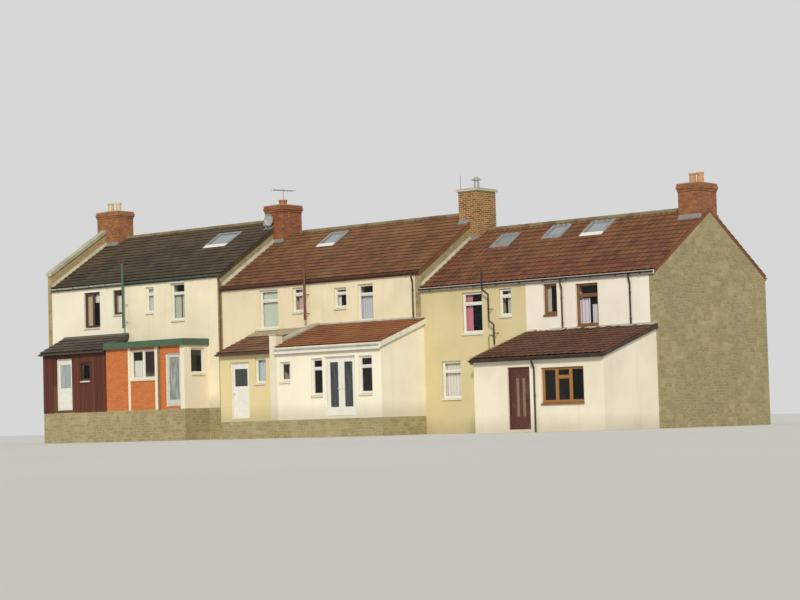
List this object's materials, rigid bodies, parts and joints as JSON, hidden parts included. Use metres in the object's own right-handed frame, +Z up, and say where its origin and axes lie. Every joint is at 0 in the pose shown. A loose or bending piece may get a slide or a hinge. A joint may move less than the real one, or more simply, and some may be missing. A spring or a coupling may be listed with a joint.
{
  "type": "terraced house row",
  "caption": "Stepped row of rendered terraced houses in level pairs, with tiled roofs, chimneys and lean-to front extensions with hinged doors",
  "frame": {"origin": "bottom centre of the whole row's bounds, at the ground level of the lowest pair", "axes": "+X along the row from the upper pair to the lower one, +Y from the front into the houses, +Z up"},
  "size_m": [30.6104, 10.6012, 10.2803],
  "materials": {
    "black_plastic": "dark plastic rainwater goods",
    "brown_door": "dark red-brown stained door leaf",
    "buff_render": "yellow-buff render, rough",
    "concrete": "concrete floor, rough",
    "cream_render": "cream painted render, rough",
    "dark_metal": "painted cast downpipes",
    "dark_roof": "dark roof covering, weathered",
    "glass": "clear window glass",
    "green_board": "green painted roof edge, matt",
    "grey_metal": "galvanised sheet, dull",
    "inner_walls": "plastered masonry, matt",
    "mottled_stone": "mottled stone and brick, rough",
    "orange_brick": "brickwork, rough",
    "orange_render": "orange painted brickwork, rough",
    "pot_clay": "buff clay, matt",
    "rear_render": "plain cement render, rough",
    "red_boards": "dark red-brown stained boarding, matt",
    "render_a1": "cement render painted in dull buff, rough",
    "render_a2": "cement render painted white, rough",
    "render_b1": "cement render painted in pinkish cream, rough",
    "render_b2": "cement render painted in cream, rough",
    "render_c1": "cement render painted white, rough",
    "render_c2": "cement render painted in cream, rough",
    "rubble_stone": "rubble stonework, rough",
    "sill_stone": "painted stone sills, matt",
    "tiles_a": "clay pantiles, weathered",
    "tiles_b": "clay tiles, weathered",
    "tiles_c": "dark concrete tiles, weathered",
    "timber_floor": "boarded timber floor, matt",
    "white_door": "white door leaf, slight gloss",
    "white_joinery": "white plastic and painted joinery, slight gloss"
  },
  "bodies": {
    "houses": {"cement_fillets": "sill_stone", "chimney_cowl": "grey_metal", "chimney_end": "orange_brick", "chimney_lower": "orange_brick", "chimney_middle": "mottled_stone", "chimney_pots": "pot_clay", "chimney_upper": "orange_brick", "copings": "sill_stone", "door_frames": "white_joinery", "door_hinges": "dark_metal", "door_hood": "tiles_a", "downpipes": "dark_metal", "eave_boards": "white_joinery", "extension_parapet": "cream_render", "extension_roof_a2": "tiles_a", "extension_roof_b1": "tiles_b", "extension_roof_b2": "tiles_b", "extension_roof_c1": "dark_roof", "extension_roof_c2": "green_board", "extension_walls_a2": "cream_render", "extension_walls_b1": "buff_render", "extension_walls_b2": "cream_render", "extension_walls_c1": "red_boards", "extension_walls_c2": "orange_render", "fixed_doors": "white_joinery", "front_wall_a1": "render_a1", "front_wall_a2": "render_a2", "front_wall_b1": "render_b1", "front_wall_b2": "render_b2", "front_wall_c1": "render_c1", "front_wall_c2": "render_c2", "ground_floors": "concrete", "gutters": "black_plastic", "party_walls": "inner_walls", "rear_walls": "rear_render", "rear_window_frames": "white_joinery", "ridge_tiles": "tiles_b", "roof_a": "tiles_a", "roof_b": "tiles_b", "roof_c": "tiles_c", "rooflight_frames": "grey_metal", "rooflight_panes": "glass", "satellite_dish": "grey_metal", "step_walls": "rubble_stone", "upper_floors": "timber_floor", "window_frames_a": "white_joinery", "window_frames_b": "white_joinery", "window_frames_c": "white_joinery", "window_panes_ground": "glass", "window_panes_upper": "glass", "window_sills": "sill_stone"},
    "door_c1": {"door_c1": "white_door"},
    "door_c2": {"door_c2": "white_door"},
    "door_b1": {"door_b1": "white_door"},
    "door_b2_left": {"door_b2_left": "white_door"},
    "door_b2_right": {"door_b2_right": "white_door"},
    "door_a2": {"door_a2": "brown_door"}
  },
  "joints": [
    {"name": "door_c1_hinge", "type": "hinge", "parent": "houses", "child": "door_c1", "pos_m": [-13.11615, -3.012, 1.333], "axis": [0, 0, 1], "range_deg": [0, 90]},
    {"name": "door_c2_hinge", "type": "hinge", "parent": "houses", "child": "door_c2", "pos_m": [-5.86415, -3.112, 1.333], "axis": [0, 0, -1], "range_deg": [0, 90]},
    {"name": "door_b1_hinge", "type": "hinge", "parent": "houses", "child": "door_b1", "pos_m": [-1.51415, -3.812, 0.758], "axis": [0, 0, -1], "range_deg": [0, 90]},
    {"name": "door_b2_left_hinge", "type": "hinge", "parent": "houses", "child": "door_b2_left", "pos_m": [2.74385, -4.222, 0.758], "axis": [0, 0, 1], "range_deg": [0, 90]},
    {"name": "door_b2_right_hinge", "type": "hinge", "parent": "houses", "child": "door_b2_right", "pos_m": [4.09585, -4.222, 0.758], "axis": [0, 0, -1], "range_deg": [0, 90]},
    {"name": "door_a2_hinge", "type": "hinge", "parent": "houses", "child": "door_a2", "pos_m": [11.45385, -4.912, 0.108], "axis": [0, 0, 1], "range_deg": [0, 90]}
  ]
}
